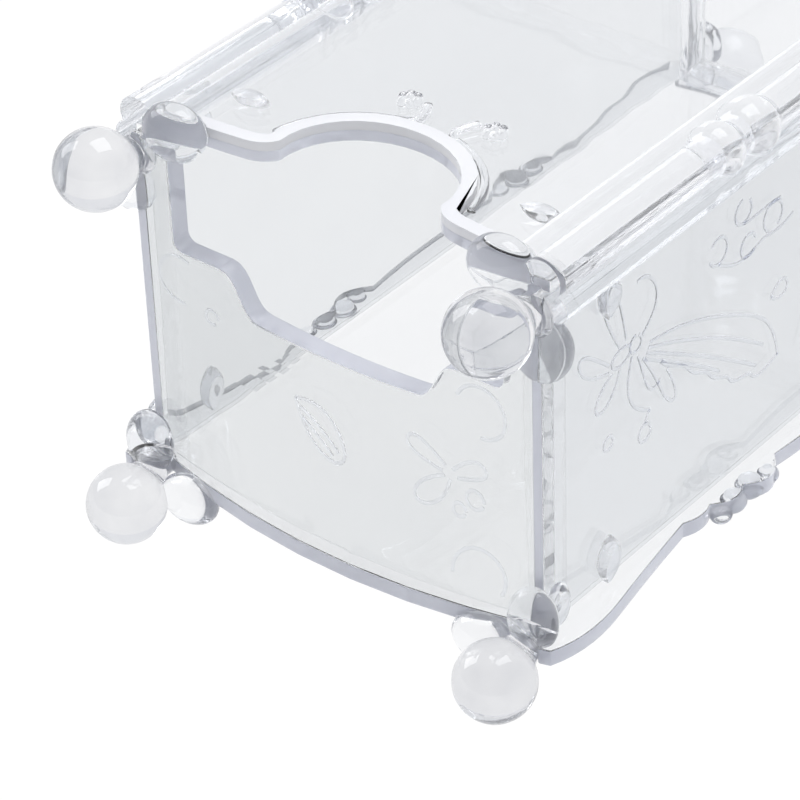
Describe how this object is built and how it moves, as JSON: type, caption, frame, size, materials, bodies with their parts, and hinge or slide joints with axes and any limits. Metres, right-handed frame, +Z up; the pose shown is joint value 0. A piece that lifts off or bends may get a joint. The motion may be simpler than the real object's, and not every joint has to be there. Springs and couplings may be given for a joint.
{
  "type": "clear pad dispenser box",
  "caption": "Clear box lying on its back: wavy pull-out mouth, ball feet with petals at the corners, reeded corner mouldings, ornate back panel and a lift-off lid.",
  "frame": {"origin": "centre of the bounding box, on the surface that the box lies on", "axes": "+Z up with the box lying on its back, +Y from the mouth end to the lid end, +X to the right seen from the mouth end"},
  "size_m": [0.0964, 0.2052, 0.0837],
  "materials": {
    "clear_panel": "water-clear moulded plastic, polished",
    "clear_trim": "water-clear moulded plastic, slightly cool in thick places",
    "clear_lid": "water-clear moulded plastic, polished"
  },
  "bodies": {
    "box": {"back_panel": "clear_panel", "front_panel": "clear_panel", "end_plate": "clear_panel", "mouth_rim": "clear_trim", "left_wall": "clear_panel", "left_scroll": "clear_trim", "left_scroll_berry": "clear_trim", "left_moulding": "clear_trim", "left_near_knot": "clear_trim", "left_far_knot": "clear_trim", "left_corner_post": "clear_trim", "left_upper_leaf": "clear_trim", "left_lower_leaf": "clear_trim", "left_front_leaf": "clear_trim", "left_upper_ball": "clear_trim", "left_lower_ball": "clear_trim", "left_upper_across_petal": "clear_trim", "left_upper_side_petal": "clear_trim", "left_lower_across_petal": "clear_trim", "left_lower_side_petal": "clear_trim", "left_lower_drop": "clear_trim", "right_wall": "clear_panel", "right_scroll": "clear_trim", "right_scroll_berry": "clear_trim", "right_moulding": "clear_trim", "right_near_knot": "clear_trim", "right_far_knot": "clear_trim", "right_corner_post": "clear_trim", "right_upper_leaf": "clear_trim", "right_lower_leaf": "clear_trim", "right_front_leaf": "clear_trim", "right_upper_ball": "clear_trim", "right_lower_ball": "clear_trim", "right_upper_across_petal": "clear_trim", "right_upper_side_petal": "clear_trim", "right_lower_across_petal": "clear_trim", "right_lower_side_petal": "clear_trim", "right_lower_drop": "clear_trim"},
    "lid": {"lid_left_upper_ball": "clear_trim", "lid_left_upper_across_petal": "clear_trim", "lid_left_upper_side_petal": "clear_trim", "lid_left_lower_ball": "clear_trim", "lid_left_lower_across_petal": "clear_trim", "lid_left_lower_side_petal": "clear_trim", "lid_right_upper_ball": "clear_trim", "lid_right_upper_across_petal": "clear_trim", "lid_right_upper_side_petal": "clear_trim", "lid_right_lower_ball": "clear_trim", "lid_right_lower_across_petal": "clear_trim", "lid_right_lower_side_petal": "clear_trim", "lid_plate": "clear_lid", "lid_locating_rim": "clear_lid", "lid_knob": "clear_trim", "lid_knob_rosette": "clear_trim"}
  },
  "joints": [
    {"name": "lid_lift", "type": "slide", "parent": "box", "child": "lid", "axis": [0, 1, 0], "range_m": [0, 0.05]}
  ]
}
